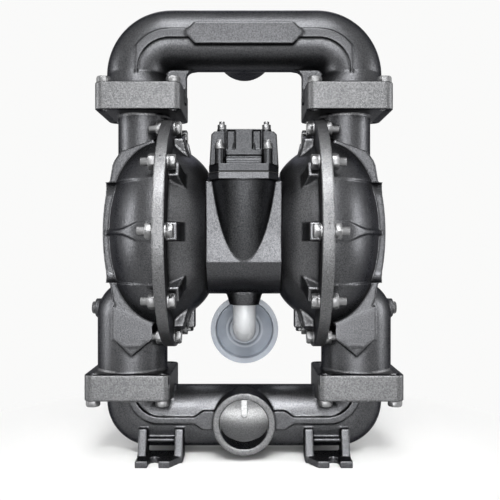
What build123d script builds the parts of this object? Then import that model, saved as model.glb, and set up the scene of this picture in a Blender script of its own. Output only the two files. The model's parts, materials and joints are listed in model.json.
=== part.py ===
from build123d import *
from math import asin, cos, degrees, radians, sqrt
import os

# Air operated double diaphragm pump with 2 inch ports, in millimetres.
# Z is up from the floor, the diaphragm shaft runs along X, and the suction port faces -Y.
# Right-hand pieces are modelled at +X and mirrored for the left.

# ----- driving dimensions -----
SHAFT_Z = 284.4  # height of the shaft above the floor
PORT_BORE_R = 30.5  # bore of the two 2 inch threaded ports
PORT_RIM_R = 39.0
PORT_REACH = 54.0  # from the tube axis to the face of a port
CAST_WALL = 6.5

# round clamp joint between a fluid chamber and its air chamber
CLAMP_X = 94.5  # mid plane of the diaphragm
CLAMP_R = 147.0
CLAMP_HALF = 7.1  # thickness of each flange
CLAMP_BOLTS = 10
CLAMP_BOLT_R = 136.6  # radius of the bolt circle

# fluid chamber
DOME_R = 121.0
DOME_DEPTH = 71.4
CAVITY_R = 113.0
CAVITY_DEPTH = 64.0
CAVITY_FLAT_R = 14.0  # flat end of the cavity behind the hub
SKIN_R = 122.5  # raised skin above and below the side pockets
SKIN_DEPTH = 75.5
POCKET_RISE = 62.0  # height of the side pockets above and below the shaft
POCKET_FILLET = 18.0
CHANNEL_HALF = 48.0  # half width of the outer flow channel above and below the pockets
CHANNEL_WAIST = 28.0  # half width between the pockets
CHANNEL_X = 180.6  # outermost point of the channel
UPPER_NECK_R = 33.0
LOWER_NECK_R = 45.3
LOWER_NECK_X = 146.5

# drain plug on the outside of the lower neck
PLUG_Z = 187.0
PLUG_R = 6.0
PLUG_BOSS_R = 12.0
PLUG_BOSS_X = 194.5

# square flanges that join the chambers to the manifolds
FLANGE_SIDE = 108.0
FLANGE_CORNER_R = 11.0
FLANGE_BOLT = 43.5  # from the flange centre to a bolt, along X and along Y
UPPER_FLANGE_X = 132.0
UPPER_FLANGE_Z = (437.4, 453.4, 471.6)  # underside, seam and top
LOWER_FLANGE_X = 145.6
LOWER_FLANGE_Z = (74.9, 91.2, 107.5)

# manifolds
DISCHARGE_Z = 536.0
DISCHARGE_R = 39.0
DISCHARGE_BEND_X = 94.0  # where the straight tube ends
DISCHARGE_BEND_R = 46.5
LEG_FOOT_X = 135.2  # flared foot of each discharge leg
LEG_FOOT_R = 48.5
DISCHARGE_STRIP_Z = 535.2
DISCHARGE_STRIP_HALF = 5.6
DISCHARGE_STRIP_CURL = 42.0  # how far the strip follows the bend, along X
NAME_PAD_Z = 535.0
SUCTION_Z = 46.3
SUCTION_R = 39.5
SUCTION_BEND_X = 119.5
SUCTION_BEND_R = 20.5
SUCTION_STRIP_Z = 48.6
SUCTION_STRIP_HALF = 4.3
SUCTION_STRIP_X = 105.0  # where the strip starts to curl
SUCTION_STRIP_R = 37.6
PORT_PAD_HALF = 11.8
PORT_RIB_HALF = 4.2
PORT_RIB_END_Z = 44.0

# check valves
BALL_R = 27.0
SEAT_BORE_R = 21.0
SEAT_R = 36.0
SEAT_HEIGHT = 10.0
SEAL_HEIGHT = 2.0
BALL_GAP = 0.3  # between a resting ball and its seat
BALL_ABOVE_SEAT = 11.6  # from the top of a seat to the centre of its ball
DISCHARGE_LIFT = 15.0  # travel of a discharge ball
BALL_ROOM = 1.0  # round a lifted ball

# feet
FOOT_X = (75.5, 131.5)
FOOT_FRONT = 77.0
FOOT_BACK = 30.0
FOOT_THICK = 8.3
FOOT_RIB = 10.5
FOOT_BAR_Z = (22.2, 26.8)
FOOT_SLOT_X = 109.6
FOOT_SLOT_WIDTH = 12.7
FOOT_SLOT_END = 57.0

# ribs and lugs of an air chamber
RIB_HALF = 10.5
LUG_Y = (52.5, 69.0)
LUG_Z = 154.0
LUG_BOLT = (78.5, 60.5)
LUG_BOLT_R = 4.0

# centre body
BODY_R = 79.0
BODY_HALF = 46.5
BODY_FRONT = 70.0
SHAFT_R = 12.5
BUSHING_R = 17.0
SPIGOT_R = 24.0
SPIGOT_X = 54.5
PILOT_RISE = 42.0  # height of the pilot spool above the shaft
PILOT_R = 5.0
PILOT_SLEEVE_R = 9.0
INLET_Z = 302.0
INLET_BORE_R = 12.1

# exhaust elbow and muffler below the centre body
EXHAUST_FACE_Z = 191.0
ELBOW_R = 15.0
ELBOW_BORE_R = 11.5
ELBOW_END = 12.0
MUFFLER_Z = 154.5
MUFFLER_FRONT = 30.0
DISH_DEPTH = 7.0

# air valve on top of the centre body
DECK_Z = (346.7, 354.9)
DECK_Y = (-95.0, 70.0)
VALVE_MID_Y = -12.5
VALVE_FLANGE_Z = 365.3
VALVE_TOP_Z = 411.0
VALVE_CORE_HALF = 45.0  # half length of the core along Y, without its caps
VALVE_BOLT_ROW = 70.5  # from the middle bolts to the end bolts
VALVE_BOLT_X = 28.8
VALVE_BOLT_R = 3.0
VALVE_COLUMN_R = 5.7
VALVE_COLUMN_Z = 383.2  # seat of the end bolts
VALVE_TOWER_Z = 417.5  # seat of the middle bolts
GASKET_THICK = 1.0
CAP_THICK = 5.0
SPOOL_Z = 388.0
SPOOL_R = 11.0

# diaphragm pack
DIAPHRAGM_THICK = 4.0
DIAPHRAGM_R = 129.0
PLATE_R = 55.0
PLATE_THICK = 10.0
SHAFT_HALF = CLAMP_X - DIAPHRAGM_THICK / 2 - PLATE_THICK
PLATE_BOLT_R = 8.0

# metric fasteners
M10_R = 5.0
M10_ACROSS = 16.0
M10_HEAD = 7.4
M10_CLEARANCE_R = 5.5
WASHER_R = 10.0
WASHER_THICK = 1.8

SHAFT_AXIS = Axis((0, 0, SHAFT_Z), (1, 0, 0))
SHAFT_PLANE = Plane(origin=(0, 0, SHAFT_Z), x_dir=(1, 0, 0), z_dir=(0, -1, 0))


# ----- plain solids in place -----
def along_x(radius, x0, x1, y=0.0, z=SHAFT_Z):
    return Pos((x0 + x1) / 2, y, z) * Rot(0, 90, 0) * Cylinder(radius, x1 - x0)


def along_y(radius, y0, y1, x=0.0, z=SHAFT_Z):
    return Pos(x, (y0 + y1) / 2, z) * Rot(90, 0, 0) * Cylinder(radius, y1 - y0)


def upright(radius, z0, z1, x=0.0, y=0.0):
    return Pos(x, y, (z0 + z1) / 2) * Cylinder(radius, z1 - z0)


def block(x0, x1, y0, y1, z0, z1):
    return Pos((x0 + x1) / 2, (y0 + y1) / 2, (z0 + z1) / 2) * Box(x1 - x0, y1 - y0, z1 - z0)


def tube_x(outer, inner, x0, x1, y=0.0, z=SHAFT_Z):
    return along_x(outer, x0, x1, y, z) - along_x(inner, x0 - 1, x1 + 1, y, z)


def tube_upright(outer, inner, z0, z1, x=0.0, y=0.0):
    return upright(outer, z0, z1, x, y) - upright(inner, z0 - 1, z1 + 1, x, y)


def joined(lines):
    """One closed face from a list of lines and arcs."""
    edges = []
    for line in lines:
        edges += line.edges()
    return make_face(edges)


def outline_face(points):
    """Face bounded by straight lines through the points."""
    return joined([Polyline(*points, close=True)])


def turned(*lines):
    """Solid of revolution about the shaft; the outline is in (x, radius)."""
    return revolve(SHAFT_PLANE * joined(lines), SHAFT_AXIS, 360)


def turned_upright(x, y, *lines):
    """Solid of revolution about a vertical axis; the outline is in (radius, z)."""
    plane = Plane(origin=(x, y, 0), x_dir=(1, 0, 0), z_dir=(0, -1, 0))
    return revolve(plane * joined(lines), Axis((x, y, 0), (0, 0, 1)), 360)


def turned_along_y(x, z, *lines):
    """Solid of revolution about an axis along Y; the outline is in (radius, y)."""
    plane = Plane(origin=(x, 0, z), x_dir=(1, 0, 0), z_dir=(0, 0, 1))
    return revolve(plane * joined(lines), Axis((x, 0, z), (0, 1, 0)), 360)


def plate_xz(face, y0, y1):
    """Solid between two y positions from a face drawn in (x, z)."""
    return Pos(0, y0, 0) * extrude(Rot(90, 0, 0) * face, amount=y1 - y0, dir=(0, 1, 0))


def both_sides(right):
    """The right-hand piece and its mirror image on the left."""
    return [right, mirror(right, about=Plane.YZ)]


# ----- fasteners -----
def hex_bar(across, length):
    return extrude(RegularPolygon(across / 2, 6, major_radius=False), amount=length)


def hex_head(across, height):
    """Hexagon head on z = 0, its upper corners turned to a chamfer."""
    corner = across / sqrt(3)
    cap = Pos(0, 0, height) * Cone(corner * 1.35, corner * 0.88, height, align=(
        Align.CENTER, Align.CENTER, Align.MAX))
    return hex_bar(across, height) & cap


def bolt(shank, head=M10_HEAD, radius=M10_R, across=M10_ACROSS):
    """Hex bolt, its head on z = 0 and its shank below."""
    return hex_head(across, head) + Pos(0, 0, -shank / 2) * Cylinder(radius, shank)


def socket_bolt(shank):
    """Flanged valve bolt: a washer face, a hexagon and a round end on top."""
    head = Pos(0, 0, 0.75) * Cylinder(6.2, 1.5) + Pos(0, 0, 1.5) * hex_bar(10, 5.5)
    head += Pos(0, 0, 9) * Cylinder(3.6, 4)
    return head + Pos(0, 0, -shank / 2) * Cylinder(VALVE_BOLT_R, shank)


def clamp_places():
    """Positions on the clamp ring as rotations about the shaft, the first at the front."""
    return [Pos(0, 0, SHAFT_Z) * Rot(90 + 360 / CLAMP_BOLTS * i, 0, 0) for i in range(CLAMP_BOLTS)]


def on_clamp_ring(piece, x):
    """Copies of a piece drawn along +Z, laid along +X on the bolt circle at x."""
    return [place * Pos(x, 0, CLAMP_BOLT_R) * Rot(0, 90, 0) * piece for place in clamp_places()]


def flange_corners(x):
    return [(x + FLANGE_BOLT * i, FLANGE_BOLT * j) for i in (-1, 1) for j in (-1, 1)]


def square_flange(x, z0, z1):
    outline = RectangleRounded(FLANGE_SIDE, FLANGE_SIDE, FLANGE_CORNER_R)
    return Pos(x, 0, z0) * extrude(outline, amount=z1 - z0)


def bored(solid, radius, places, z0, z1):
    for x, y in places:
        solid -= upright(radius, z0, z1, x, y)
    return solid


# ----- fluid chambers -----
def bowl_ellipse(depth, radius, least_radius):
    """Quarter ellipse about the shaft from a small radius up to the clamp flange, in (x, radius)."""
    start = CLAMP_X + CLAMP_HALF
    angle = degrees(asin(least_radius / radius))
    return EllipticalCenterArc((start, 0), depth, radius, angle, arc_size=90 - angle)


def bowl():
    """Domed bowl with its clamp flange, hollow inside."""
    outer = bowl_ellipse(DOME_DEPTH, DOME_R, CAVITY_FLAT_R)
    inner = bowl_ellipse(CAVITY_DEPTH, CAVITY_R, CAVITY_FLAT_R)
    start = CLAMP_X + CLAMP_HALF
    return turned(
        outer,
        Polyline((start, DOME_R), (start, CLAMP_R), (CLAMP_X, CLAMP_R)),
        Polyline((CLAMP_X, CLAMP_R), (CLAMP_X, CAVITY_R), (start, CAVITY_R)),
        inner,
        Polyline(inner @ 0, ((inner @ 0).X, 0), ((outer @ 0).X, 0), outer @ 0),
    )


def skin():
    """Thick skin around the bowl; the covers and the rib are cut from it."""
    outer = bowl_ellipse(SKIN_DEPTH, SKIN_R, CAVITY_FLAT_R)
    inner = bowl_ellipse(DOME_DEPTH - 4, DOME_R - 4, CAVITY_FLAT_R)
    return turned(outer, Line(outer @ 1, inner @ 1), inner, Line(inner @ 0, outer @ 0))


def chamber_rib():
    """Plan of the thin horizontal rib that flares towards the clamp ring."""
    half = 2.3
    flare = 10.5
    end = CLAMP_X + CLAMP_HALF
    upper = Spline((150, half), (136, half + 2.5), (122, flare), tangents=((-1, 0), (-1, 0.35)))
    lower = mirror(upper, about=Plane.XZ)
    return joined([
        upper,
        lower,
        Polyline((122, flare), (end, flare), (end, -flare), (122, -flare)),
        Polyline((150, half), (190, half), (190, -half), (150, -half)),
    ])


def channel_waist():
    """Outline of the flow channel between the two pockets, in (x, height above the shaft)."""
    rise = POCKET_RISE + 2
    edge = CHANNEL_X - 7.3
    return joined([
        ThreePointArc((edge, -rise), (CHANNEL_X, 0), (edge, rise)),
        Polyline((edge, rise), (120, rise), (120, -rise), (edge, -rise)),
    ])


def channel_shoulder():
    """Outline of the flow channel above the pockets, in (x, height above the shaft)."""
    return outline_face([
        (112, POCKET_RISE), (167.7, POCKET_RISE), (164, 84.2), (161.7, 89.7), (153.9, 101.1), (112, 116.5),
    ])


def pocket_fillet():
    """Hollow fillet in the upper front corner of a pocket, where it meets the channel."""
    y = -CHANNEL_WAIST - POCKET_FILLET
    z = SHAFT_Z + POCKET_RISE - POCKET_FILLET
    corner = block(140, 176, y, -CHANNEL_WAIST + 1, z, SHAFT_Z + POCKET_RISE + 1)
    corner &= plate_xz(Pos(0, SHAFT_Z) * channel_waist(), y - 1, 0)
    return corner - along_x(POCKET_FILLET, 130, 190, y, z)


def flow_channel():
    """Upright channel along the outside of the bowl, one piece at a time."""
    waist = plate_xz(Pos(0, SHAFT_Z) * channel_waist(), -CHANNEL_WAIST, CHANNEL_WAIST)
    upper = plate_xz(Pos(0, SHAFT_Z) * channel_shoulder(), -CHANNEL_HALF, CHANNEL_HALF)
    upper = [upper, pocket_fillet(), mirror(pocket_fillet(), about=Plane.XZ)]
    middle = Plane(origin=(0, 0, SHAFT_Z), z_dir=(0, 0, 1))
    return [waist] + upper + [mirror(piece, about=middle) for piece in upper]


def lower_neck(radius, base, shoulder, cap):
    """Upright neck with a domed end of height cap that starts at the shoulder."""
    dome = EllipticalCenterArc((0, shoulder), radius, cap, 0, arc_size=84)
    return turned_upright(
        LOWER_NECK_X, 0,
        dome,
        Polyline(dome @ 1, (0, (dome @ 1).Y), (0, base), (radius, base), dome @ 0),
    )


def neck_pad():
    """Flat pads on the front and back of the lower neck."""
    outline = outline_face([(163, 186.5), (125, 163.5), (125, 153), (129, 142), (151, 142), (163, 153)])
    return plate_xz(outline, -LOWER_NECK_R - 3, LOWER_NECK_R + 3)


def fluid_chamber():
    solid = bowl()
    cover = skin()
    for side in (-1, 1):
        z = sorted((SHAFT_Z + side * POCKET_RISE, SHAFT_Z + side * 130))
        solid += cover & block(CLAMP_X, 190, -130, 130, *z)
        y = sorted((side * 20, side * 130))
        solid += cover & plate_xz(Pos(0, SHAFT_Z) * chamber_rib(), *y)
    for piece in flow_channel():
        solid += piece
    solid += upright(UPPER_NECK_R, SHAFT_Z + 80, UPPER_FLANGE_Z[0] + 1, UPPER_FLANGE_X)
    for piece in (lower_neck(LOWER_NECK_R, LOWER_FLANGE_Z[1], 179, 45), neck_pad()):
        solid += piece
    solid += along_x(PLUG_BOSS_R, 170, PLUG_BOSS_X, 0, PLUG_Z)
    solid += square_flange(UPPER_FLANGE_X, *UPPER_FLANGE_Z[:2])
    solid += square_flange(LOWER_FLANGE_X, *LOWER_FLANGE_Z[1:])

    inside = bowl_ellipse(CAVITY_DEPTH, CAVITY_R, CAVITY_FLAT_R)
    cavity = turned(
        inside,
        Polyline(inside @ 1, (CLAMP_X - 1, CAVITY_R), (CLAMP_X - 1, 0), ((inside @ 0).X, 0), inside @ 0),
    )
    cavity += upright(UPPER_NECK_R - CAST_WALL, SHAFT_Z + 60, UPPER_FLANGE_Z[1] + 1, UPPER_FLANGE_X)
    cavity += lower_neck(LOWER_NECK_R - 8, LOWER_FLANGE_Z[1] - 1, 176, 38)
    solid -= cavity
    seat_base = UPPER_FLANGE_Z[1] - SEAT_HEIGHT - SEAL_HEIGHT
    solid -= upright(SEAT_R, seat_base, UPPER_FLANGE_Z[1] + 1, UPPER_FLANGE_X)
    solid -= along_x(DIAPHRAGM_R + 0.3, CLAMP_X - 1, CLAMP_X + DIAPHRAGM_THICK / 2)
    solid -= along_x(PLUG_R, 175, PLUG_BOSS_X + 1, 0, PLUG_Z)
    for hole in on_clamp_ring(Cylinder(M10_CLEARANCE_R, 40), CLAMP_X):
        solid -= hole
    solid = bored(solid, M10_R, flange_corners(UPPER_FLANGE_X), UPPER_FLANGE_Z[0] - 1, UPPER_FLANGE_Z[1] + 1)
    return bored(solid, M10_R, flange_corners(LOWER_FLANGE_X), LOWER_FLANGE_Z[1] - 1, LOWER_FLANGE_Z[2] + 1)


def drain_plug():
    head = Rot(0, 90, 0) * hex_head(14, 4.5)
    return Pos(PLUG_BOSS_X, 0, PLUG_Z) * head + along_x(PLUG_R, PLUG_BOSS_X - 12, PLUG_BOSS_X, 0, PLUG_Z)


# ----- air chambers -----
def air_chamber():
    back = CLAMP_X - CLAMP_HALF
    bell = turned(
        Polyline((BODY_HALF, 0), (BODY_HALF, 79.5)),
        Spline((BODY_HALF, 79.5), (53.4, 89.3), (63.5, 98.9), (76, 108), (back, 118.5)),
        Polyline((back, 118.5), (back, CLAMP_R), (CLAMP_X, CLAMP_R), (CLAMP_X, 0), (BODY_HALF, 0)),
    )
    outline = outline_face([(67, 94), (68, 101), (72, 111), (75.5, 126), (back + 1, 126), (back + 1, 94)])
    rib = Rot(90, 0, 0) * extrude(outline, RIB_HALF, both=True)
    for place in clamp_places():
        bell += place * rib
    bell += rear_lugs()
    bell -= turned(
        Polyline((SPIGOT_X, 0), (SPIGOT_X, 70)),
        Spline((SPIGOT_X, 70), (58.5, 82), (68, 94), (80, 104), (back, 110)),
        Polyline((back, 110), (CLAMP_X + 1, CAVITY_R), (CLAMP_X + 1, 0), (SPIGOT_X, 0)),
    )
    bell -= along_x(SPIGOT_R, BODY_HALF - 1, SPIGOT_X + 1)
    bell -= along_x(PILOT_SLEEVE_R, BODY_HALF - 1, SPIGOT_X + 1, 0, SHAFT_Z + PILOT_RISE)
    bell -= along_x(DIAPHRAGM_R + 0.3, CLAMP_X - DIAPHRAGM_THICK / 2, CLAMP_X + 1)
    for hole in on_clamp_ring(Cylinder(M10_CLEARANCE_R, 40), CLAMP_X):
        bell -= hole
    return bell


def rear_lugs():
    """Two lugs behind each air chamber, one high and one low."""
    back = CLAMP_X - CLAMP_HALF + 1
    low = block(69, back, *LUG_Y, LUG_Z, 182) - upright(LUG_BOLT_R, LUG_Z - 1, 175, *LUG_BOLT)
    high = block(80, back, *LUG_Y, 396, 429)
    return low + high


# ----- centre body -----
def deck_outline():
    """Eight-sided outline shared by the deck of the centre body and the valve on it."""
    front, back = DECK_Y
    wide, narrow, step = 42, 30, 20
    return outline_face([
        (-narrow, front), (narrow, front), (wide, front + step), (wide, back - step),
        (narrow, back), (-narrow, back), (-wide, back - step), (-wide, front + step),
    ])


def deck(z0, z1):
    return Pos(0, 0, z0) * extrude(deck_outline(), amount=z1 - z0)


def thumb_boss():
    """Leaning half-round boss that rises from the flat front to the deck."""
    radius = 43.0
    lean = 13.8
    foot_z = 248.0
    shape = Rot(lean, 0, 0) * Cylinder(radius, 260)
    middle = Pos(0, radius / cos(radians(lean)) - BODY_FRONT, foot_z)
    return (middle * shape) & block(-50, 50, -110, 0, foot_z - 1, DECK_Z[0] + 1)


def center_body():
    solid = along_x(BODY_R, -BODY_HALF, BODY_HALF)
    solid &= block(-60, 60, -BODY_FRONT, 100, 150, 400)
    solid += block(-BODY_HALF, BODY_HALF, -BODY_FRONT, 66, SHAFT_Z, DECK_Z[0])
    solid += thumb_boss()
    solid += deck(*DECK_Z)
    solid &= block(-60, 60, -120, 120, 150, DECK_Z[1])
    solid += along_x(SPIGOT_R, -SPIGOT_X, SPIGOT_X)
    solid += Pos(0, 0, EXHAUST_FACE_Z + 8) * Cone(19.1, 23.9, 16)
    solid += along_y(20, 60, 84, 0, INLET_Z)
    solid -= along_x(SHAFT_R + 1.5, -60, 60)
    for side in (-1, 1):
        x = sorted((side * 24, side * (SPIGOT_X + 1)))
        solid -= along_x(BUSHING_R, *x)
    solid -= along_x(PILOT_SLEEVE_R, -60, 60, 0, SHAFT_Z + PILOT_RISE)
    solid -= upright(ELBOW_BORE_R, EXHAUST_FACE_Z - 1, 230)
    solid -= along_y(INLET_BORE_R, 56, 85, 0, INLET_Z)
    for x, y in valve_bolt_places():
        solid -= upright(VALVE_BOLT_R, DECK_Z[0] + 0.8, DECK_Z[1] + 1, x, y)
    return solid


def shaft_bushing():
    return tube_x(BUSHING_R, SHAFT_R + 0.05, 30, SPIGOT_X)


def shaft_seal():
    return tube_x(BUSHING_R, SHAFT_R + 0.05, 24, 30)


def pilot_sleeve():
    return tube_x(PILOT_SLEEVE_R, PILOT_R + 0.05, -SPIGOT_X, SPIGOT_X, 0, SHAFT_Z + PILOT_RISE)


def pilot_spool():
    """Pin with two reduced waists; its ends stand in the air chambers."""
    z = SHAFT_Z + PILOT_RISE
    pin = along_x(PILOT_R, -66.5, 66.5, 0, z)
    for x in (-18, 6):
        pin -= tube_x(PILOT_R + 1, PILOT_R - 1.5, x, x + 12, 0, z)
    return pin


# ----- air valve -----
def valve_bolt_places():
    rows = (VALVE_MID_Y - VALVE_BOLT_ROW, VALVE_MID_Y, VALVE_MID_Y + VALVE_BOLT_ROW)
    return [(side * VALVE_BOLT_X, y) for y in rows for side in (-1, 1)]


def valve_gasket():
    gasket = deck(DECK_Z[1], DECK_Z[1] + GASKET_THICK)
    for x, y in valve_bolt_places():
        gasket -= upright(VALVE_BOLT_R + 0.2, 340, 370, x, y)
    return gasket


def valve_flank():
    """Cross-section of the valve body, a little wider at its foot, in (x, z)."""
    base, top = VALVE_FLANGE_Z - 1, VALVE_TOP_Z
    return outline_face([(-43.5, base), (43.5, base), (41, top - 4), (37, top), (-37, top), (-41, top - 4)])


def air_valve_body():
    """Octagonal flange, tapered block, square core and a column under each bolt."""
    base = VALVE_FLANGE_Z - 1
    body = deck(DECK_Z[1] + GASKET_THICK, VALVE_FLANGE_Z)
    body += plate_xz(valve_flank(), VALVE_MID_Y - 33, VALVE_MID_Y + 33)
    core = (VALVE_MID_Y - VALVE_CORE_HALF, VALVE_MID_Y + VALVE_CORE_HALF)
    body += block(-23, 23, *core, base, VALVE_TOP_Z)
    for x, y in valve_bolt_places():
        if y == VALVE_MID_Y:
            body += upright(7, VALVE_TOP_Z - 20, VALVE_TOWER_Z, x, y)
        else:
            body += upright(VALVE_COLUMN_R, base, VALVE_COLUMN_Z, x, y)
            inward = sorted((y, y + (VALVE_MID_Y - y) * 0.6))
            body += block(x - 3, x + 3, *inward, base, VALVE_COLUMN_Z - 3)
    body -= along_y(SPOOL_R + 4, core[0] - 1, core[1] + 1, 0, SPOOL_Z)
    for x, y in valve_bolt_places():
        body -= upright(VALVE_BOLT_R + 0.2, 340, 440, x, y)
    return body


def valve_sleeve():
    y0, y1 = VALVE_MID_Y - VALVE_CORE_HALF, VALVE_MID_Y + VALVE_CORE_HALF
    return along_y(SPOOL_R + 4, y0, y1, 0, SPOOL_Z) - along_y(SPOOL_R + 0.05, y0 - 1, y1 + 1, 0, SPOOL_Z)


def valve_spool():
    half = 35.0
    spool = along_y(SPOOL_R, VALVE_MID_Y - half, VALVE_MID_Y + half, 0, SPOOL_Z)
    for y in (VALVE_MID_Y - 18, VALVE_MID_Y + 6):
        groove = along_y(SPOOL_R + 1, y, y + 12, 0, SPOOL_Z) - along_y(SPOOL_R - 4, y - 1, y + 13, 0, SPOOL_Z)
        spool -= groove
    return spool


def valve_cap(side):
    """End cap of the spool bore: two pockets open at the top, and a stepped foot."""
    inner = VALVE_MID_Y + side * VALVE_CORE_HALF
    outer = inner + side * CAP_THICK
    cap = block(-22.5, 22.5, *sorted((inner, outer)), VALVE_FLANGE_Z, VALVE_TOP_Z)
    recess = sorted((outer - side * 4, outer + side))
    for x in (-21, 10.5):
        cap -= block(x, x + 10.5, *recess, 386, 409.5)
    cap -= block(-30, 30, *sorted((outer - side * 2, outer + side)), 376, 379)
    lip = block(-22.5, 22.5, *sorted((outer - side, outer + side * 2)), VALVE_FLANGE_Z, 372)
    return cap + lip


def valve_bolts():
    bolts = []
    for x, y in valve_bolt_places():
        if y == VALVE_MID_Y:
            seat = VALVE_TOWER_Z
        else:
            seat = VALVE_COLUMN_Z
        bolts.append(Pos(x, y, seat) * socket_bolt(seat - DECK_Z[0] - 0.8))
    return bolts


# ----- exhaust -----
def elbow_path():
    """Down from the centre body, then back towards the muffler."""
    bend_r = MUFFLER_FRONT - ELBOW_END
    corner = bend_r * (1 - cos(radians(45)))
    top = MUFFLER_Z + bend_r
    return (
        Line((0, 0, EXHAUST_FACE_Z), (0, 0, top))
        + ThreePointArc((0, 0, top), (0, corner, MUFFLER_Z + corner), (0, bend_r, MUFFLER_Z))
        + Line((0, bend_r, MUFFLER_Z), (0, MUFFLER_FRONT + DISH_DEPTH, MUFFLER_Z))
    )


def exhaust_elbow():
    path = elbow_path()
    start = Plane(origin=(0, 0, EXHAUST_FACE_Z), x_dir=(1, 0, 0), z_dir=(0, 0, -1))
    return sweep(start * Circle(ELBOW_R), path=path) - sweep(start * Circle(ELBOW_BORE_R), path=path)


def muffler_body():
    """Round can with a raised front rim, a groove inside it and a dished face round the elbow."""
    front, inner = MUFFLER_FRONT, MUFFLER_FRONT + DISH_DEPTH
    outside = Polyline(
        (26, front + 4), (37.5, front + 9), (39.5, front), (46, front), (46, 40), (42, 44),
        (42, 110), (34, 120), (0, 120), (0, inner), (ELBOW_R + 5, inner),
    )
    dish = ThreePointArc((ELBOW_R + 5, inner), (21.5, front + 4.4), (26, front + 4))
    return turned_along_y(0, MUFFLER_Z, outside, dish)


# ----- check valves -----
def valve_seat(x, top, ball_z, radius=SEAT_R):
    seat = tube_upright(radius, SEAT_BORE_R, top - SEAT_HEIGHT, top, x)
    return seat - Pos(x, 0, ball_z) * Sphere(BALL_R + BALL_GAP)


def seat_seal(x, z0, radius=SEAT_R):
    return tube_upright(radius, 30, z0, z0 + SEAL_HEIGHT, x)


def ball(x, z):
    return Pos(x, 0, z) * Sphere(BALL_R)


# ----- manifolds -----
def bend(x, z, bend_r, tube_r, below):
    """Quarter of a tube bend about an axis along Y through (x, z), solid up to that axis."""
    side = 1 if below else -1
    plane = Plane(origin=(x, 0, z), x_dir=(1, 0, 0), z_dir=(0, 0, 1))
    disc = Pos(bend_r, 0) * Circle(tube_r)
    half = disc & Pos(200, 0) * Rectangle(400, 400)
    return revolve(plane * half, Axis((x, 0, z), (0, side, 0)), 90)


def discharge_leg(inset, foot_z):
    """Flared leg between the bend and the flange, thinner by inset."""
    bend_x = DISCHARGE_BEND_X + DISCHARGE_BEND_R
    bend_z = DISCHARGE_Z - DISCHARGE_BEND_R
    top = Pos(bend_x, 0, bend_z) * Circle(DISCHARGE_R - inset)
    foot = Pos(LEG_FOOT_X, 0, foot_z) * Circle(LEG_FOOT_R - inset)
    return loft([foot, top])


def discharge_side(inset, foot_z):
    corner_z = DISCHARGE_Z - DISCHARGE_BEND_R
    side = bend(DISCHARGE_BEND_X, corner_z, DISCHARGE_BEND_R, DISCHARGE_R - inset, False)
    return side + discharge_leg(inset, foot_z)


def strip_plate(face, reach):
    return plate_xz(face, -reach, -20)


def curled_strip(length, z, half, bend_z, curl):
    """Face of a strip straight to x = length, then round (length, bend_z) for curl more, both ways."""
    radius = abs(z - bend_z)
    face = Pos(0, z) * Rectangle(2 * length, 2 * half)
    middle = (z + bend_z) / 2
    for side in (-1, 1):
        ring = Pos(side * length, bend_z) * (Circle(radius + half) - Circle(radius - half))
        window = Pos(side * (length + curl / 2), middle) * Rectangle(curl, radius + 2 * half)
        face += ring & window
    return face


def discharge_strip():
    """Raised strip along the front of the tube and into the bends."""
    bend_z = DISCHARGE_Z - DISCHARGE_BEND_R
    return strip_plate(curled_strip(
        DISCHARGE_BEND_X, DISCHARGE_STRIP_Z, DISCHARGE_STRIP_HALF, bend_z, DISCHARGE_STRIP_CURL), 42)


def name_pad():
    """Bare six-sided pad on the front of the discharge tube."""
    half_long, half_tip, half_high = 61.5, 74.5, 13.75
    face = outline_face([
        (-half_tip, 0), (-half_long, half_high), (half_long, half_high),
        (half_tip, 0), (half_long, -half_high), (-half_long, -half_high),
    ])
    return strip_plate(Pos(0, NAME_PAD_Z) * face, 44)


def gusset():
    """Web in the inner corner between the discharge tube and a flange."""
    face = outline_face([
        (60, 499), (62, 497), (70, 495.5), (74, 492.5), (75.3, 489), (75.3, 454), (110, 454), (110, 501),
    ])
    return plate_xz(face, -6, 6)


def discharge_manifold():
    seam, top = UPPER_FLANGE_Z[1:]
    solid = along_x(DISCHARGE_R, -DISCHARGE_BEND_X, DISCHARGE_BEND_X, 0, DISCHARGE_Z)
    pieces = both_sides(discharge_side(0, top - 1)) + both_sides(gusset())
    pieces += both_sides(square_flange(UPPER_FLANGE_X, seam, top))
    pieces += [discharge_strip(), name_pad(), along_y(PORT_RIM_R, 0, PORT_REACH, 0, DISCHARGE_Z)]
    for piece in pieces:
        solid += piece
    passage = along_x(DISCHARGE_R - CAST_WALL, -DISCHARGE_BEND_X, DISCHARGE_BEND_X, 0, DISCHARGE_Z)
    lifted = seam + BALL_ABOVE_SEAT + DISCHARGE_LIFT
    room = upright(BALL_R + BALL_ROOM, seam - 1, lifted + BALL_R / 2, UPPER_FLANGE_X)
    for piece in both_sides(discharge_side(CAST_WALL, seam - 1)) + both_sides(room):
        passage += piece
    passage += along_y(PORT_BORE_R, 0, PORT_REACH + 1, 0, DISCHARGE_Z)
    solid -= passage
    for side in (-1, 1):
        solid = bored(solid, M10_CLEARANCE_R, flange_corners(side * UPPER_FLANGE_X), seam - 1, top + 9)
    return solid


def suction_side(inset, foot_z):
    corner_z = SUCTION_Z + SUCTION_BEND_R
    radius = SUCTION_R - inset
    side = bend(SUCTION_BEND_X, corner_z, SUCTION_BEND_R, radius, True)
    side += upright(radius, corner_z, foot_z, SUCTION_BEND_X + SUCTION_BEND_R)
    return side


def suction_strip():
    """Raised strip along the front of the suction tube, wider beside the port."""
    face = curled_strip(
        SUCTION_STRIP_X, SUCTION_STRIP_Z, SUCTION_STRIP_HALF, SUCTION_STRIP_Z + SUCTION_STRIP_R, 60)
    end, half = SUCTION_STRIP_HALF, PORT_PAD_HALF
    pad = [(-62.5, end), (-51, half), (51, half), (62.5, end),
           (62.5, -end), (51, -half), (-51, -half), (-62.5, -end)]
    face += Pos(0, SUCTION_STRIP_Z) * outline_face(pad)
    return strip_plate(face, 43)


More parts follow.
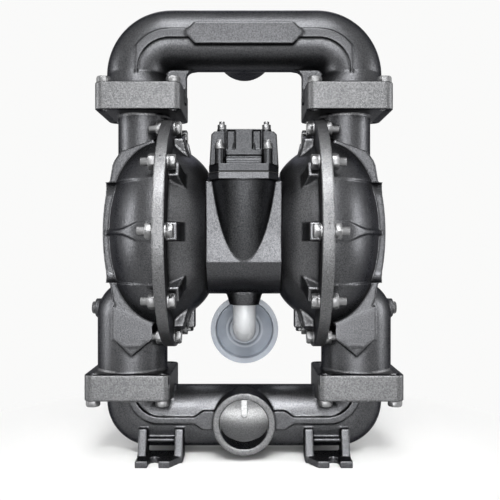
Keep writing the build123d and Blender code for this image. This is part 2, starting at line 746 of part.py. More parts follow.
def port_rib():
    """Round-ended rib that hangs in the suction tube behind its port."""
    half = PORT_RIB_HALF
    centre = PORT_RIB_END_Z + half
    return block(-half, half, -12, 12, centre, SUCTION_Z + SUCTION_R - 3) + along_y(half, -12, 12, 0, centre)


def foot():
    """Front right foot: a slotted plate, two ribs up to the tube and a cross bar."""
    inner, outer = FOOT_X
    outline = outline_face([
        (inner, -FOOT_BACK), (outer, -FOOT_BACK), (outer, -FOOT_FRONT),
        (inner + 14, -FOOT_FRONT), (inner, -53),
    ])
    slot_r = FOOT_SLOT_WIDTH / 2
    end = -FOOT_SLOT_END - slot_r
    outline -= Pos(FOOT_SLOT_X, end) * Circle(slot_r)
    outline -= Pos(FOOT_SLOT_X, end - 20) * Rectangle(FOOT_SLOT_WIDTH, 40)
    solid = extrude(outline, amount=FOOT_THICK)
    side = Plane(origin=(0, 0, 0), x_dir=(0, 1, 0), z_dir=(1, 0, 0))
    profile = outline_face([(-FOOT_BACK, 0), (-58, 0), (-58, FOOT_THICK), (-45, 39), (-20, 39), (-20, 20)])
    for x in (inner, outer - FOOT_RIB):
        solid += Pos(x, 0, 0) * extrude(side * profile, amount=FOOT_RIB)
    return solid + block(inner, outer, -45, -25, FOOT_BAR_Z[0], FOOT_BAR_Z[1])


def suction_manifold():
    bottom, seam = LOWER_FLANGE_Z[:2]
    solid = along_x(SUCTION_R, -SUCTION_BEND_X, SUCTION_BEND_X, 0, SUCTION_Z)
    pieces = both_sides(suction_side(0, bottom + 1))
    pieces += both_sides(square_flange(LOWER_FLANGE_X, bottom, seam))
    pieces += [suction_strip(), along_y(PORT_RIM_R, -PORT_REACH, 0, 0, SUCTION_Z)]
    for piece in both_sides(foot()):
        pieces += [piece, mirror(piece, about=Plane.XZ)]
    for piece in pieces:
        solid += piece
    passage = along_x(SUCTION_R - CAST_WALL, -SUCTION_BEND_X, SUCTION_BEND_X, 0, SUCTION_Z)
    for piece in both_sides(suction_side(CAST_WALL, bottom + 6)):
        passage += piece
    passage += along_y(PORT_BORE_R, -PORT_REACH - 1, 0, 0, SUCTION_Z)
    solid -= passage
    solid += port_rib()
    for side in (-1, 1):
        x = side * LOWER_FLANGE_X
        solid -= upright(SEAT_R, seam - SEAT_HEIGHT - SEAL_HEIGHT, seam + 1, x)
        solid = bored(solid, M10_CLEARANCE_R, flange_corners(x), bottom - 1, seam + 1)
    return solid


# ----- diaphragm pack -----
def diaphragm():
    inner, outer = CLAMP_X - DIAPHRAGM_THICK / 2, CLAMP_X + DIAPHRAGM_THICK / 2
    return turned(
        Line((inner, PLATE_BOLT_R), (inner, 62)),
        ThreePointArc((inner, 62), (inner + 9, 86), (inner, 110)),
        Polyline((inner, 110), (inner, DIAPHRAGM_R), (outer, DIAPHRAGM_R), (outer, 112)),
        ThreePointArc((outer, 112), (outer + 9, 86), (outer, 60)),
        Polyline((outer, 60), (outer, PLATE_BOLT_R), (inner, PLATE_BOLT_R)),
    )


def plate(x_flat, x_back):
    """Diaphragm plate, flat towards the diaphragm and rounded on its back."""
    turn = (x_back - x_flat) / abs(x_back - x_flat)
    return turned(
        Polyline((x_flat, PLATE_BOLT_R), (x_flat, PLATE_R - 3)),
        ThreePointArc((x_flat, PLATE_R - 3), (x_flat + turn * 3, PLATE_R), (x_flat + turn * 6, PLATE_R - 3)),
        Polyline((x_flat + turn * 6, PLATE_R - 3), (x_back, 30), (x_back, PLATE_BOLT_R)),
        Polyline((x_back, PLATE_BOLT_R), (x_flat, PLATE_BOLT_R)),
    )


def inner_plate():
    return plate(CLAMP_X - DIAPHRAGM_THICK / 2, SHAFT_HALF)


def outer_plate():
    flat = CLAMP_X + DIAPHRAGM_THICK / 2
    return plate(flat, flat + PLATE_THICK)


def plate_bolt():
    face = CLAMP_X + DIAPHRAGM_THICK / 2 + PLATE_THICK
    head = Pos(face, 0, SHAFT_Z) * Rot(0, 90, 0) * hex_head(24, 10)
    return head + along_x(PLATE_BOLT_R, 62, face)


def diaphragm_shaft():
    shaft = along_x(SHAFT_R, -SHAFT_HALF, SHAFT_HALF)
    for side in (-1, 1):
        x = sorted((side * 60, side * (SHAFT_HALF + 1)))
        shaft -= along_x(PLATE_BOLT_R, *x)
    return shaft


# ----- fastener groups -----
def clamp_bolts():
    """Bolt heads on the air chamber side, shanks through to the nuts."""
    seat = CLAMP_X - CLAMP_HALF - WASHER_THICK
    piece = Rot(180, 0, 0) * bolt(33)
    return on_clamp_ring(piece, seat)


def clamp_washers():
    ring = Cylinder(WASHER_R - 1, WASHER_THICK) - Cylinder(M10_CLEARANCE_R, 5)
    return on_clamp_ring(ring, CLAMP_X - CLAMP_HALF - WASHER_THICK / 2)


def clamp_nuts():
    nut = hex_head(17, 8) - Cylinder(M10_R, 40)
    return on_clamp_ring(nut, CLAMP_X + CLAMP_HALF)


def discharge_bolts():
    top = UPPER_FLANGE_Z[2]
    places = flange_corners(UPPER_FLANGE_X) + flange_corners(-UPPER_FLANGE_X)
    return [Pos(x, y, top) * bolt(30) for x, y in places]


def suction_bolts():
    bottom = LOWER_FLANGE_Z[0]
    places = flange_corners(LOWER_FLANGE_X) + flange_corners(-LOWER_FLANGE_X)
    return [Pos(x, y, bottom) * Rot(180, 0, 0) * bolt(30) for x, y in places]


def lug_bolts():
    x, y = LUG_BOLT
    return [Pos(side * x, y, LUG_Z) * Rot(180, 0, 0) * bolt(12, 5, LUG_BOLT_R, 12) for side in (-1, 1)]


# ----- files -----
def write(name, piece):
    os.makedirs("parts", exist_ok=True)
    if isinstance(piece, list):
        piece = Compound(children=piece)
    export_step(piece, f"parts/{name}.step")


def write_pair(name, build):
    """Right and left pieces, each in a file of its own."""
    right = build()
    if isinstance(right, list):
        left = [mirror(piece, about=Plane.YZ) for piece in right]
    else:
        left = mirror(right, about=Plane.YZ)
    write("right_" + name, right)
    write("left_" + name, left)


seat_top = LOWER_FLANGE_Z[1] - SEAL_HEIGHT
suction_ball_z = seat_top + BALL_ABOVE_SEAT
upper_seat_top = UPPER_FLANGE_Z[1] - SEAL_HEIGHT
discharge_ball_z = upper_seat_top + BALL_ABOVE_SEAT

write("suction_manifold", suction_manifold())
write("discharge_manifold", discharge_manifold())
write("center_body", center_body())
write("pilot_sleeve", pilot_sleeve())
write("pilot_spool", pilot_spool())
write("valve_gasket", valve_gasket())
write("air_valve_body", air_valve_body())
write("air_valve_sleeve", valve_sleeve())
write("air_valve_spool", valve_spool())
write("front_valve_cap", valve_cap(-1))
write("rear_valve_cap", valve_cap(1))
write("air_valve_bolts", valve_bolts())
write("exhaust_elbow", exhaust_elbow())
write("muffler_body", muffler_body())
write("diaphragm_shaft", diaphragm_shaft())
write("discharge_manifold_bolts", discharge_bolts())
write("suction_manifold_bolts", suction_bolts())
write("lug_bolts", lug_bolts())

write_pair("fluid_chamber", fluid_chamber)
write_pair("air_chamber", air_chamber)
write_pair("shaft_bushing", shaft_bushing)
write_pair("shaft_seal", shaft_seal)
write_pair("suction_seat", lambda: valve_seat(LOWER_FLANGE_X, seat_top, suction_ball_z))
write_pair("suction_seat_seal", lambda: seat_seal(LOWER_FLANGE_X, seat_top))
write_pair("suction_ball", lambda: ball(LOWER_FLANGE_X, suction_ball_z))
write_pair("discharge_seat", lambda: valve_seat(UPPER_FLANGE_X, upper_seat_top, discharge_ball_z))
write_pair("discharge_seat_seal", lambda: seat_seal(UPPER_FLANGE_X, upper_seat_top))
write_pair("discharge_ball", lambda: ball(UPPER_FLANGE_X, discharge_ball_z))
write_pair("diaphragm", diaphragm)
write_pair("inner_plate", inner_plate)
write_pair("outer_plate", outer_plate)
write_pair("plate_bolt", plate_bolt)
write_pair("drain_plug", drain_plug)
write_pair("clamp_bolts", clamp_bolts)
write_pair("clamp_washers", clamp_washers)
write_pair("clamp_nuts", clamp_nuts)
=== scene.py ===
import json
import math

import bmesh
import bpy
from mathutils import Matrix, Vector


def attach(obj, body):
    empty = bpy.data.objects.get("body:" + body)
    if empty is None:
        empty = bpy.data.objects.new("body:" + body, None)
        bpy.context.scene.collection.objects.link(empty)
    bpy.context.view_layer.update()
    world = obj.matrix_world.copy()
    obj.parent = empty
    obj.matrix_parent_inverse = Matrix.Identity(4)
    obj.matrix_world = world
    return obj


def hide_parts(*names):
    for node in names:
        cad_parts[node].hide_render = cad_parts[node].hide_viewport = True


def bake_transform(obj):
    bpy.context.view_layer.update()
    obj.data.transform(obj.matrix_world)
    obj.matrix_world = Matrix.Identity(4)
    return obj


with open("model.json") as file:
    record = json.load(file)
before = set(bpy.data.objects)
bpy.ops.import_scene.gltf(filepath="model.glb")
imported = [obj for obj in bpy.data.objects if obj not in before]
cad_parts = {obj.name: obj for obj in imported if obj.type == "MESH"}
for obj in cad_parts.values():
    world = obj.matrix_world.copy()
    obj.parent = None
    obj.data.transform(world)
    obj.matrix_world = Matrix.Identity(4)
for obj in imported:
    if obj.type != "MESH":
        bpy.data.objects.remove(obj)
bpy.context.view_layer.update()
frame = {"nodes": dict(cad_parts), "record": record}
nodes = frame["nodes"]

# ----- finish of the surfaces, in metres -----
MM = 0.001
CAST_VOXEL = 1.3 * MM  # grid that the castings are rounded on
FINE_VOXEL = 0.9 * MM
CAST_SMOOTHING = 2
FASTENER_BEVEL = 0.35 * MM
BEVEL_ANGLE = math.radians(28)
FLAT_ANGLE = math.radians(1)  # triangles this close in direction are one flat face
SHARP_ANGLE = math.radians(60)
WELD = 0.001 * MM
SKIN = 0.6 * MM  # how near a face lies to the surface that it belongs to


def low_and_high(node):
    """Opposite corners of a node's box."""
    corners = [Vector(corner) for corner in nodes[node].bound_box]
    return Vector(map(min, *corners)), Vector(map(max, *corners))


# ----- places where castings meet -----
DISCHARGE_LOW, DISCHARGE_HIGH = low_and_high("discharge_manifold")
SUCTION_HIGH = low_and_high("suction_manifold")[1]
RING_LOW, RING_HIGH = low_and_high("right_air_chamber")
FLANGE_HALF = DISCHARGE_HIGH.y
FLANGE_CORNER_R = 11.0 * MM
FLANGE_BAND = 20.0 * MM  # the sides of a pair of flanges reach this far from their seam
UPPER_SEAM = (DISCHARGE_HIGH.x - FLANGE_HALF, DISCHARGE_LOW.z)  # centre x and height
LOWER_SEAM = (SUCTION_HIGH.x - FLANGE_HALF, SUCTION_HIGH.z)
SEAM_BAND = 2.5 * MM
CLAMP_X = RING_HIGH.x
CLAMP_R = (RING_HIGH.z - RING_LOW.z) / 2
CLAMP_BAND = 8.0 * MM
SHAFT_Z = (RING_HIGH.z + RING_LOW.z) / 2

# ----- suction port -----
SUCTION_MOUNT = next(row for row in frame["record"]["mounts"] if row["name"] == "suction_port")
PORT_X, PORT_Y, PORT_Z = SUCTION_MOUNT["pos_m"]
PORT_R = SUCTION_MOUNT["dims"]["r_mm"] * MM
PORT_RIM_R = 40.0 * MM
PORT_FACE_Y = -FLANGE_HALF
PASSAGE_R = 33.5 * MM
# The lower part of the suction bore keeps the dark coat as painted shade below its brighter upper
# part.
COATED_SHADE_DEPTH = 34.0 * MM  # the lower part of the bore is coated this far in from its face

# ----- leaning boss on the centre body -----
BODY_FRONT_Y = -70.0 * MM
BOSS_R = 43.0 * MM
BOSS_LEAN = math.radians(13.8)
BOSS_AXIS = Vector((0, -math.sin(BOSS_LEAN), math.cos(BOSS_LEAN)))
BOSS_FOOT = Vector((0, BODY_FRONT_Y + BOSS_R / math.cos(BOSS_LEAN), 248 * MM))
BOSS_TOP_Z = nodes["center_body"].bound_box[1][2] - 9 * MM

# ----- flats on the lower necks: x, y, z of the corners of their blocks, in mm -----
NECK_FRONT = 48.3
NECK_PAD = (
    [
        (x, y, z)
        for x, z in ((164.2, 193), (124, 174.2), (124, 151), (164.2, 151))
        for y in (39, NECK_FRONT)
    ],
    [
        (x, y, z)
        for x, z in ((125, 174.6), (114.4, 169.6), (114.4, 151), (125, 151))
        for y in (33.4, NECK_FRONT)
    ],
    [
        (164.2, NECK_FRONT, 151), (114.4, NECK_FRONT, 151), (140.5, 47, 130),
        (160, 39, 151), (114.4, 34, 151), (140.5, 39, 133),
    ],
)

# ----- moving parts -----
SPOOL_LOW, SPOOL_HIGH = low_and_high("air_valve_spool")
SPOOL_TRAVEL = 10.0 * MM
CAP_RELIEF = 1.0 * MM  # room for the end of the air valve's spool
CAP_MARGIN = 2.5 * MM
CAP_FLOOR = 1.5 * MM
SECTORS = 16  # slices of a diaphragm


# ----- node helpers -----
def new_material(name):
    """A material with its Principled shader and a 3D coordinate in metres."""
    material = bpy.data.materials.new(name)
    material.use_nodes = True
    tree = material.node_tree
    shader = tree.nodes["Principled BSDF"]
    coordinate = tree.nodes.new("ShaderNodeTexCoord").outputs["Object"]
    return material, tree, shader, coordinate


def noise(tree, coordinate, scale, detail, roughness=0.5):
    node = tree.nodes.new("ShaderNodeTexNoise")
    node.inputs["Scale"].default_value = scale
    node.inputs["Detail"].default_value = detail
    node.inputs["Roughness"].default_value = roughness
    tree.links.new(coordinate, node.inputs["Vector"])
    return node.outputs["Fac"]


def remap(tree, value, low, high, start=0.3, stop=0.7):
    """Linear change of range; noise rarely leaves start to stop."""
    node = tree.nodes.new("ShaderNodeMapRange")
    node.inputs["From Min"].default_value = start
    node.inputs["From Max"].default_value = stop
    node.inputs["To Min"].default_value = low
    node.inputs["To Max"].default_value = high
    tree.links.new(value, node.inputs["Value"])
    return node.outputs["Result"]


def colour(tree, shader, pattern, dark, light):
    """Base colour that goes from dark to light with a noise pattern."""
    node = tree.nodes.new("ShaderNodeMix")
    node.data_type = "RGBA"
    node.inputs["A"].default_value = (*dark, 1)
    node.inputs["B"].default_value = (*light, 1)
    tree.links.new(remap(tree, pattern, 0, 1), node.inputs["Factor"])
    tree.links.new(node.outputs["Result"], shader.inputs["Base Color"])


def bump(tree, shader, layers):
    """Bumps stacked on the shader's normal; layers are (height, strength, distance)."""
    normal = None
    for height, strength, distance in layers:
        node = tree.nodes.new("ShaderNodeBump")
        node.inputs["Strength"].default_value = strength
        node.inputs["Distance"].default_value = distance
        tree.links.new(height, node.inputs["Height"])
        if normal is not None:
            tree.links.new(normal, node.inputs["Normal"])
        normal = node.outputs["Normal"]
    tree.links.new(normal, shader.inputs["Normal"])


# ----- materials; noise scales are in cells per metre -----
GRAIN = 620.0
COAT_DARK, COAT_LIGHT = (0.042, 0.043, 0.046), (0.105, 0.106, 0.111)
COAT_ROUGHNESS = (0.32, 0.40)
COAT_EDGE_TINT = (0.25, 0.25, 0.26, 1)


def coated_casting(name, dark=COAT_DARK, light=COAT_LIGHT, roughness=COAT_ROUGHNESS):
    """Satin black coat over sand-cast aluminium."""
    material, tree, shader, where = new_material(name)
    grain = noise(tree, where, GRAIN, 3, 0.6)
    patches = noise(tree, where, 38, 2)
    waves = noise(tree, where, 95, 2)
    colour(tree, shader, grain, dark, light)
    tree.links.new(remap(tree, patches, *roughness), shader.inputs["Roughness"])
    shader.inputs["Metallic"].default_value = 1.0
    shader.inputs["Specular Tint"].default_value = COAT_EDGE_TINT
    bump(tree, shader, [(waves, 0.25, 0.4 * MM), (grain, 0.55, 0.35 * MM)])
    return material


def bright_metal(name, tone, roughness):
    """Plated, turned or sintered metal with a faint cloud of tone."""
    material, tree, shader, where = new_material(name)
    cloud = noise(tree, where, 160, 3)
    fine = noise(tree, where, 1400, 2)
    dark = (tone * 0.86, tone * 0.87, tone * 0.88)
    light = (tone, tone, tone * 1.02)
    colour(tree, shader, cloud, dark, light)
    tree.links.new(remap(tree, cloud, *roughness), shader.inputs["Roughness"])
    shader.inputs["Metallic"].default_value = 1.0
    bump(tree, shader, [(fine, 0.15, 0.05 * MM)])
    return material


def moulded_plastic(name, dark, light, roughness=(0.32, 0.42)):
    material, tree, shader, where = new_material(name)
    cloud = noise(tree, where, 30, 2)
    fine = noise(tree, where, 900, 2)
    colour(tree, shader, cloud, dark, light)
    tree.links.new(remap(tree, cloud, *roughness), shader.inputs["Roughness"])
    bump(tree, shader, [(fine, 0.12, 0.05 * MM)])
    return material


def black_rubber():
    material, tree, shader, where = new_material("black_rubber")
    fine = noise(tree, where, 1200, 2)
    colour(tree, shader, fine, (0.012, 0.012, 0.012), (0.022, 0.022, 0.022))
    tree.links.new(remap(tree, fine, 0.6, 0.75), shader.inputs["Roughness"])
    bump(tree, shader, [(fine, 0.2, 0.08 * MM)])
    return material


CASTING = coated_casting("coated_casting")
# Lighter copy of the coat for flange sides, clamp rim and port face: partly their ground finish,
# partly a painted highlight.
GROUND_AND_HIGHLIGHT = coated_casting("ground_and_highlight_casting", (0.072, 0.073, 0.076), (0.180, 0.181, 0.185), (0.42, 0.50))
# Bright bare metal in the suction passage: partly the uncoated aluminium, partly painted light
# inside the port.
BARE_AND_PAINTED_LIGHT = coated_casting("bare_and_painted_light_casting", (0.40, 0.403, 0.41), (0.72, 0.725, 0.73), (0.46, 0.56))
# Darker copy of the coat: painted shade on the centre body's boss, and a darker coat on the valve
# parts.
DARK = coated_casting("dark_casting", (0.024, 0.025, 0.027), (0.062, 0.063, 0.066), (0.28, 0.36))
# Lighter copy of the coat for the air chambers: a painted highlight for their brighter lit bells and
# clamp ring.
PAINTED_HIGHLIGHT_CASTING = coated_casting("painted_highlight_casting", (0.070, 0.071, 0.075), (0.165, 0.166, 0.172))
ZINC = bright_metal("zinc_steel", 0.20, (0.36, 0.50))
STAINLESS = bright_metal("turned_stainless", 0.55, (0.2, 0.3))
BRONZE = bright_metal("sintered_bronze", 0.5, (0.4, 0.5))
PLASTIC = moulded_plastic("grey_plastic", (0.21, 0.235, 0.275), (0.27, 0.295, 0.335))
PALE_PLASTIC = moulded_plastic(
    "pale_plastic", (0.37, 0.38, 0.40), (0.44, 0.45, 0.46), (0.22, 0.30)
)
BLACK_PLASTIC = moulded_plastic("black_plastic", (0.018, 0.018, 0.02), (0.03, 0.03, 0.033))
RUBBER = black_rubber()
BY_SLOT = {
    "casting": CASTING, "zinc": ZINC, "stainless": STAINLESS, "bronze": BRONZE,
    "plastic": PLASTIC, "black_plastic": BLACK_PLASTIC, "rubber": RUBBER,
}
SLOT_OF = {row["node"]: row["material_slot"] for row in frame["record"]["subparts"]}
BODIES = frame["record"]["behaviour"]["bodies"]
BODY_OF = {node: body for body, members in BODIES.items() for node in members}


# ----- pieces made from the frame -----
def applied(obj):
    """obj with its modifiers baked into a new mesh."""
    graph = bpy.context.evaluated_depsgraph_get()
    mesh = bpy.data.meshes.new_from_object(obj.evaluated_get(graph))
    obj.modifiers.clear()
    obj.data = mesh
    return obj


def stand_in(node, prefix):
    """A copy of a CAD node's mesh that replaces the node in the picture."""
    mesh = nodes[node].data.copy()
    obj = bpy.data.objects.new(f"{prefix}_{node}", mesh)
    bpy.context.scene.collection.objects.link(obj)
    mesh.materials.clear()
    # Air chambers get the lighter copy of the coat, a painted highlight.
    mesh.materials.append(PAINTED_HIGHLIGHT_CASTING if "air_chamber" in node else BY_SLOT[SLOT_OF[node]])
    return obj


def settle(obj, node):
    """The finished piece moves with its node's body and stands in for the node."""
    for polygon in obj.data.polygons:
        polygon.use_smooth = True
    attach(obj, BODY_OF[node])
    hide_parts(node)
    return obj


def on_square(across, y):
    """The nearest point on the rounded square outline of a flange, from its centre."""
    corner = FLANGE_HALF - FLANGE_CORNER_R
    inner = Vector((min(max(across, -corner), corner), min(max(y, -corner), corner)))
    outward = Vector((across, y)) - inner
    return inner + outward.normalized() * FLANGE_CORNER_R


def square_up_flange(mesh, seam, voxel):
    """Crisp edges round the square flanges where two castings meet."""
    centre_x, seam_z = seam
    for vertex in mesh.vertices:
        x, y, z = vertex.co
        if abs(z - seam_z) > SEAM_BAND:
            continue
        if abs(z - seam_z) < voxel:
            z = seam_z
        side = math.copysign(1, x)
        here = Vector((side * x - centre_x, y))
        if max(abs(here.x), abs(here.y)) > FLANGE_HALF - FLANGE_CORNER_R:
            edge = on_square(*here)
            if (edge - here).length < voxel:
                x, y = side * (centre_x + edge.x), edge.y
        vertex.co = (x, y, z)


def square_up_ring(mesh, voxel):
    """Crisp edge round the clamp ring where the two chambers meet."""
    for vertex in mesh.vertices:
        x, y, z = vertex.co
        if abs(abs(x) - CLAMP_X) > SEAM_BAND:
            continue
        if abs(abs(x) - CLAMP_X) < voxel:
            x = math.copysign(CLAMP_X, x)
        radius = math.hypot(y, z - SHAFT_Z)
        if abs(radius - CLAMP_R) < voxel:
            y *= CLAMP_R / radius
            z = SHAFT_Z + (z - SHAFT_Z) * CLAMP_R / radius
        vertex.co = (x, y, z)


def is_ground_and_highlight(place):
    """True on the sides of the square flanges and on the rim of the clamp ring, whose lighter coat
    is partly ground finish and partly a painted highlight.
    """
    radius = math.hypot(place.y, place.z - SHAFT_Z)
    if abs(radius - CLAMP_R) < SKIN and abs(abs(place.x) - CLAMP_X) < CLAMP_BAND:
        return True
    for centre_x, seam_z in (UPPER_SEAM, LOWER_SEAM):
        here = Vector((abs(place.x) - centre_x, place.y))
        beside = abs(place.z - seam_z) < FLANGE_BAND
        if beside and max(abs(here.x), abs(here.y)) > FLANGE_HALF / 2:
            if (on_square(*here) - here).length < SKIN:
                return True
    return False


def is_inside_suction(place):
    """True in the suction manifold's wet passage and in the upper part of its port, which take
    bright bare metal, partly painted light; the lower part of the bore keeps the dark coat as
    painted shade.
    """
    if place.y < PORT_FACE_Y + COATED_SHADE_DEPTH and place.z < PORT_Z - PORT_R / 3:
        return False
    if PORT_Y < place.y < 0 and from_port_axis(place) < PORT_R + SKIN:
        return True
    from_tube_axis = math.hypot(place.y, place.z - PORT_Z)
    return from_tube_axis < PASSAGE_R + SKIN and abs(place.x) < FLANGE_HALF


def from_port_axis(place):
    return math.hypot(place.x - PORT_X, place.z - PORT_Z)


def is_port_face(place):
    """True on the flat rim round the suction port."""
    return place.y < PORT_FACE_Y + SKIN and from_port_axis(place) < PORT_RIM_R


def is_boss(place):
    """True on the leaning half-round boss on the front of the centre body, which gets the darker
    coat as painted shade.
    """
    if not (BOSS_FOOT.z < place.z < BOSS_TOP_Z and place.y < BODY_FRONT_Y - SKIN):
        return False
    return abs((place - BOSS_FOOT).cross(BOSS_AXIS).length - BOSS_R) < SKIN


def finish_faces(mesh, node):
    """Gives some faces lighter or darker copies of the coat: painted highlights on the flange sides,
    clamp rim and port face (partly ground finish), bright bare metal partly painted light in the
    suction passage, painted shade on the boss, and a darker coat on the valve parts.
    """
    for material in (GROUND_AND_HIGHLIGHT, BARE_AND_PAINTED_LIGHT, DARK):
        mesh.materials.append(material)
    ground_highlight, bare_light, dark = 1, 2, 3
    for polygon in mesh.polygons:
        place = polygon.center
        # Suction passage: bright bare metal, partly painted light.
        if node == "suction_manifold" and is_inside_suction(place):
            polygon.material_index = bare_light
        # Flange sides, clamp rim and port face take the lighter coat: partly ground finish, partly
        # painted highlight.
        elif is_ground_and_highlight(place) or node == "suction_manifold" and is_port_face(place):
            polygon.material_index = ground_highlight
        # Valve parts take the darker coat; on the boss it is painted shade.
        elif "valve" in node or node == "center_body" and is_boss(place):
            polygon.material_index = dark


def add_neck_pads(mesh, side):
    """The flat on the front and back of the lower neck, out to the edges it has when cast."""
    work = bmesh.new()
    work.from_mesh(mesh)
    for points in NECK_PAD:
        for facing in (-1, 1):
            places = [(side * x * MM, facing * y * MM, z * MM) for x, y, z in points]
            bmesh.ops.convex_hull(work, input=[work.verts.new(place) for place in places])
    work.to_mesh(mesh)
    work.free()


def relieve_cap(mesh):
    """Deepens the recess in a valve cap, so that the spool's edge clears its rounded corner."""
    middle = (SPOOL_LOW + SPOOL_HIGH) / 2
    reach = (SPOOL_HIGH.z - SPOOL_LOW.z) / 2 + CAP_MARGIN
    end = (SPOOL_HIGH.y - SPOOL_LOW.y) / 2 + SPOOL_TRAVEL
    for vertex in mesh.vertices:
        x, y, z = vertex.co - middle
        if math.hypot(x, z) < reach and end - CAP_MARGIN < abs(y) < end + CAP_FLOOR:
            vertex.co.y += math.copysign(CAP_RELIEF, y)


def side_of(node):
    return -1 if "left" in node else 1


def cast_piece(node, voxel=CAST_VOXEL):
    """The node as sand cast: every edge and inner corner takes a small radius."""
    obj = stand_in(node, "cast")
    if "fluid" in node:
        add_neck_pads(obj.data, side_of(node))
    remesh = obj.modifiers.new("grid", "REMESH")
    remesh.mode = "VOXEL"
    remesh.voxel_size = voxel
    smooth = obj.modifiers.new("smooth", "SMOOTH")
    smooth.factor = 0.5
    smooth.iterations = CAST_SMOOTHING
    applied(obj)
    if node == "discharge_manifold" or "fluid" in node:
        square_up_flange(obj.data, UPPER_SEAM, voxel)
    if node == "suction_manifold" or "fluid" in node:
        square_up_flange(obj.data, LOWER_SEAM, voxel)
    if "chamber" in node:
        square_up_ring(obj.data, voxel)
    if "cap" in node:
        relieve_cap(obj.data)
    finish_faces(obj.data, node)
    obj.data.set_sharp_from_angle(angle=SHARP_ANGLE)
    return settle(obj, node)


def weld_flat_faces(mesh):
    """Joins the triangles of each flat face, so that only real edges are bevelled."""
    work = bmesh.new()
    work.from_mesh(mesh)
    bmesh.ops.remove_doubles(work, verts=work.verts, dist=WELD)
    bmesh.ops.dissolve_limit(
        work, angle_limit=FLAT_ANGLE, verts=work.verts, edges=work.edges, delimit={"NORMAL"}
    )
    work.to_mesh(mesh)
    work.free()


def machined_piece(node):
    """The node with its sharp edges broken by a small bevel."""
    obj = stand_in(node, "machined")
    weld_flat_faces(obj.data)
    bevel = obj.modifiers.new("edges", "BEVEL")
    bevel.width = FASTENER_BEVEL
    bevel.segments = 2
    bevel.limit_method = "ANGLE"
    bevel.angle_limit = BEVEL_ANGLE
    bevel.harden_normals = True
    return settle(applied(obj), node)


def diaphragm_sector(node, index):
    """One slice of a diaphragm, which spans the clamp ring and the plates, cut out between two
    planes through the shaft.
    """
    obj = stand_in(node, f"sector_{index}")
    middle = 2 * math.pi * index / SECTORS
    work = bmesh.new()
    work.from_mesh(obj.data)
    bmesh.ops.remove_doubles(work, verts=work.verts, dist=WELD)
    for turn in (-1, 1):
        edge = middle + turn * math.pi / SECTORS
        outward = (0, -turn * math.sin(edge), turn * math.cos(edge))
        everything = work.verts[:] + work.edges[:] + work.faces[:]
        bmesh.ops.bisect_plane(
            work, geom=everything, plane_co=(0, 0, SHAFT_Z), plane_no=outward, clear_outer=True
        )
        bmesh.ops.holes_fill(work, edges=[e for e in work.edges if e.is_boundary], sides=0)
    bmesh.ops.triangulate(work, faces=work.faces)
    bmesh.ops.recalc_face_normals(work, faces=work.faces)
    work.to_mesh(obj.data)
    work.free()
    for polygon in obj.data.polygons:
        polygon.use_smooth = True
    obj.data.set_sharp_from_angle(angle=SHARP_ANGLE)
    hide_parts(node)
    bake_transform(obj)
    return obj


CASTINGS = [
    "suction_manifold", "discharge_manifold",
    "left_fluid_chamber", "right_fluid_chamber", "left_air_chamber", "right_air_chamber",
]
FINE_CASTINGS = ["center_body", "air_valve_body", "front_valve_cap", "rear_valve_cap"]
MACHINED = [
    "left_clamp_bolts", "right_clamp_bolts", "left_clamp_nuts", "right_clamp_nuts",
    "suction_manifold_bolts", "discharge_manifold_bolts", "air_valve_bolts", "lug_bolts",
    "left_drain_plug", "right_drain_plug",
]

for node in nodes:
    nodes[node].data.materials.clear()
    nodes[node].data.materials.append(BY_SLOT[SLOT_OF[node]])
nodes["exhaust_elbow"].data.materials[0] = PALE_PLASTIC
for node in CASTINGS:
    cast_piece(node)
for node in FINE_CASTINGS:
    cast_piece(node, FINE_VOXEL)
for node in MACHINED:
    machined_piece(node)
for node in ("left_diaphragm", "right_diaphragm"):
    for index in range(SECTORS):
        diaphragm_sector(node, index)


# ----- camera -----
CAMERA_PLACE = (7.5 * MM, -898 * MM, 266.5 * MM)
FOCAL_PIXELS = 683.0
IMAGE_SIDE = 500.0
HORIZON_ABOVE_CENTRE = 3.0  # pixels
SENSOR_WIDTH = 36.0

camera = bpy.data.objects.new("camera", bpy.data.cameras.new("camera"))
bpy.context.scene.collection.objects.link(camera)
camera.location = CAMERA_PLACE
tilt = math.atan(HORIZON_ABOVE_CENTRE / FOCAL_PIXELS)
camera.rotation_euler = (math.pi / 2 - tilt, 0, 0)
camera.data.sensor_width = SENSOR_WIDTH
camera.data.lens = FOCAL_PIXELS / IMAGE_SIDE * SENSOR_WIDTH
camera.data.clip_start = 0.01
bpy.context.scene.camera = camera


# ----- studio -----
BACKGROUND = (0.955, 0.955, 0.95)
AMBIENT = (0.10, 0.10, 0.105)
FLOOR_COLOUR = (0.74, 0.74, 0.735)
FLOOR_HALF = 6.0
FADE_START = 0.12  # the floor fades to the background between these distances
FADE_END = 0.45

# name, place, target, width and height in metres, power in watts, spread in degrees
LAMPS = (
    ("front_low", (0, -1.25, 0.17), (0, 0, 0.17), 0.8, 0.32, 8.5, 180),
    ("front_high", (0, -1.25, 0.68), (0, 0, 0.4), 0.8, 0.5, 5.5, 180),
    ("low_tube", (0, -1.0, 1.12), (0, 0, 0.03), 0.8, 0.3, 0.85, 30),
    ("overhead", (0, -0.65, 1.40), (0, 0, 0.35), 0.7, 0.6, 12, 180),
    ("left_strip", (-1.25, -0.15, 0.40), (0, 0, 0.3), 0.3, 0.9, 8, 180),
    ("right_strip", (1.25, -0.15, 0.40), (0, 0, 0.3), 0.3, 0.9, 8, 180),
    ("back", (0, 1.1, 1.35), (0, 0, 0.4), 0.9, 0.6, 8, 180),
)


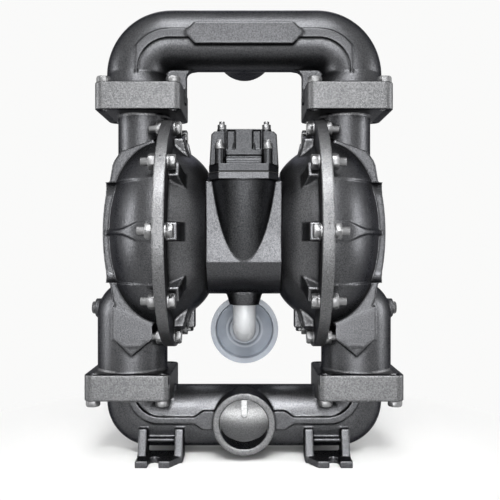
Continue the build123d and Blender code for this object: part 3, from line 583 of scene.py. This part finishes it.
def softbox(name, place, target, width, height, power, spread):
    lamp = bpy.data.lights.new(name, "AREA")
    lamp.shape = "RECTANGLE"
    lamp.size = width
    lamp.size_y = height
    lamp.energy = power
    lamp.spread = math.radians(spread)
    obj = bpy.data.objects.new(name, lamp)
    obj.location = place
    obj.rotation_euler = (Vector(target) - Vector(place)).to_track_quat("-Z", "Y").to_euler()
    bpy.context.scene.collection.objects.link(obj)


for row in LAMPS:
    softbox(*row)


def seen_directly(tree):
    """1 on camera, glossy and transmission rays, 0 on others."""
    path = tree.nodes.new("ShaderNodeLightPath")
    total = path.outputs["Is Camera Ray"]
    for name in ("Is Glossy Ray", "Is Transmission Ray"):
        add = tree.nodes.new("ShaderNodeMath")
        add.operation = "MAXIMUM"
        tree.links.new(total, add.inputs[0])
        tree.links.new(path.outputs[name], add.inputs[1])
        total = add.outputs[0]
    return total


def studio_world():
    """Dim all round light; the background shows only to rays that see it directly."""
    world = bpy.data.worlds.new("studio")
    bpy.context.scene.world = world
    world.use_nodes = True
    tree = world.node_tree
    background = tree.nodes["Background"]
    mix = tree.nodes.new("ShaderNodeMix")
    mix.data_type = "RGBA"
    mix.inputs["A"].default_value = (*AMBIENT, 1)
    mix.inputs["B"].default_value = (*BACKGROUND, 1)
    tree.links.new(seen_directly(tree), mix.inputs["Factor"])
    tree.links.new(mix.outputs["Result"], background.inputs["Color"])


def pale_floor():
    """White floor that keeps a soft shadow near the feet and fades into the background."""
    mesh = bpy.data.meshes.new("floor")
    corners = [(x * FLOOR_HALF, y * FLOOR_HALF, 0) for x, y in ((-1, -1), (1, -1), (1, 1), (-1, 1))]
    mesh.from_pydata(corners, [], [(0, 1, 2, 3)])
    floor = bpy.data.objects.new("floor", mesh)
    bpy.context.scene.collection.objects.link(floor)
    material = bpy.data.materials.new("pale_floor")
    material.use_nodes = True
    tree = material.node_tree
    shader = tree.nodes["Principled BSDF"]
    shader.inputs["Base Color"].default_value = (*FLOOR_COLOUR, 1)
    shader.inputs["Roughness"].default_value = 0.9
    shader.inputs["Specular IOR Level"].default_value = 0.1
    white = tree.nodes.new("ShaderNodeEmission")
    white.inputs["Color"].default_value = (*BACKGROUND, 1)
    where = tree.nodes.new("ShaderNodeTexCoord").outputs["Object"]
    distance = tree.nodes.new("ShaderNodeVectorMath")
    distance.operation = "LENGTH"
    tree.links.new(where, distance.inputs[0])
    away = remap(tree, distance.outputs["Value"], 0, 1, FADE_START, FADE_END)
    share = tree.nodes.new("ShaderNodeMath")
    share.operation = "MULTIPLY"
    tree.links.new(away, share.inputs[0])
    tree.links.new(seen_directly(tree), share.inputs[1])
    mix = tree.nodes.new("ShaderNodeMixShader")
    tree.links.new(share.outputs[0], mix.inputs["Fac"])
    tree.links.new(shader.outputs["BSDF"], mix.inputs[1])
    tree.links.new(white.outputs["Emission"], mix.inputs[2])
    tree.links.new(mix.outputs["Shader"], tree.nodes["Material Output"].inputs["Surface"])
    mesh.materials.append(material)


studio_world()
pale_floor()
bpy.context.scene.view_settings.view_transform = "Standard"
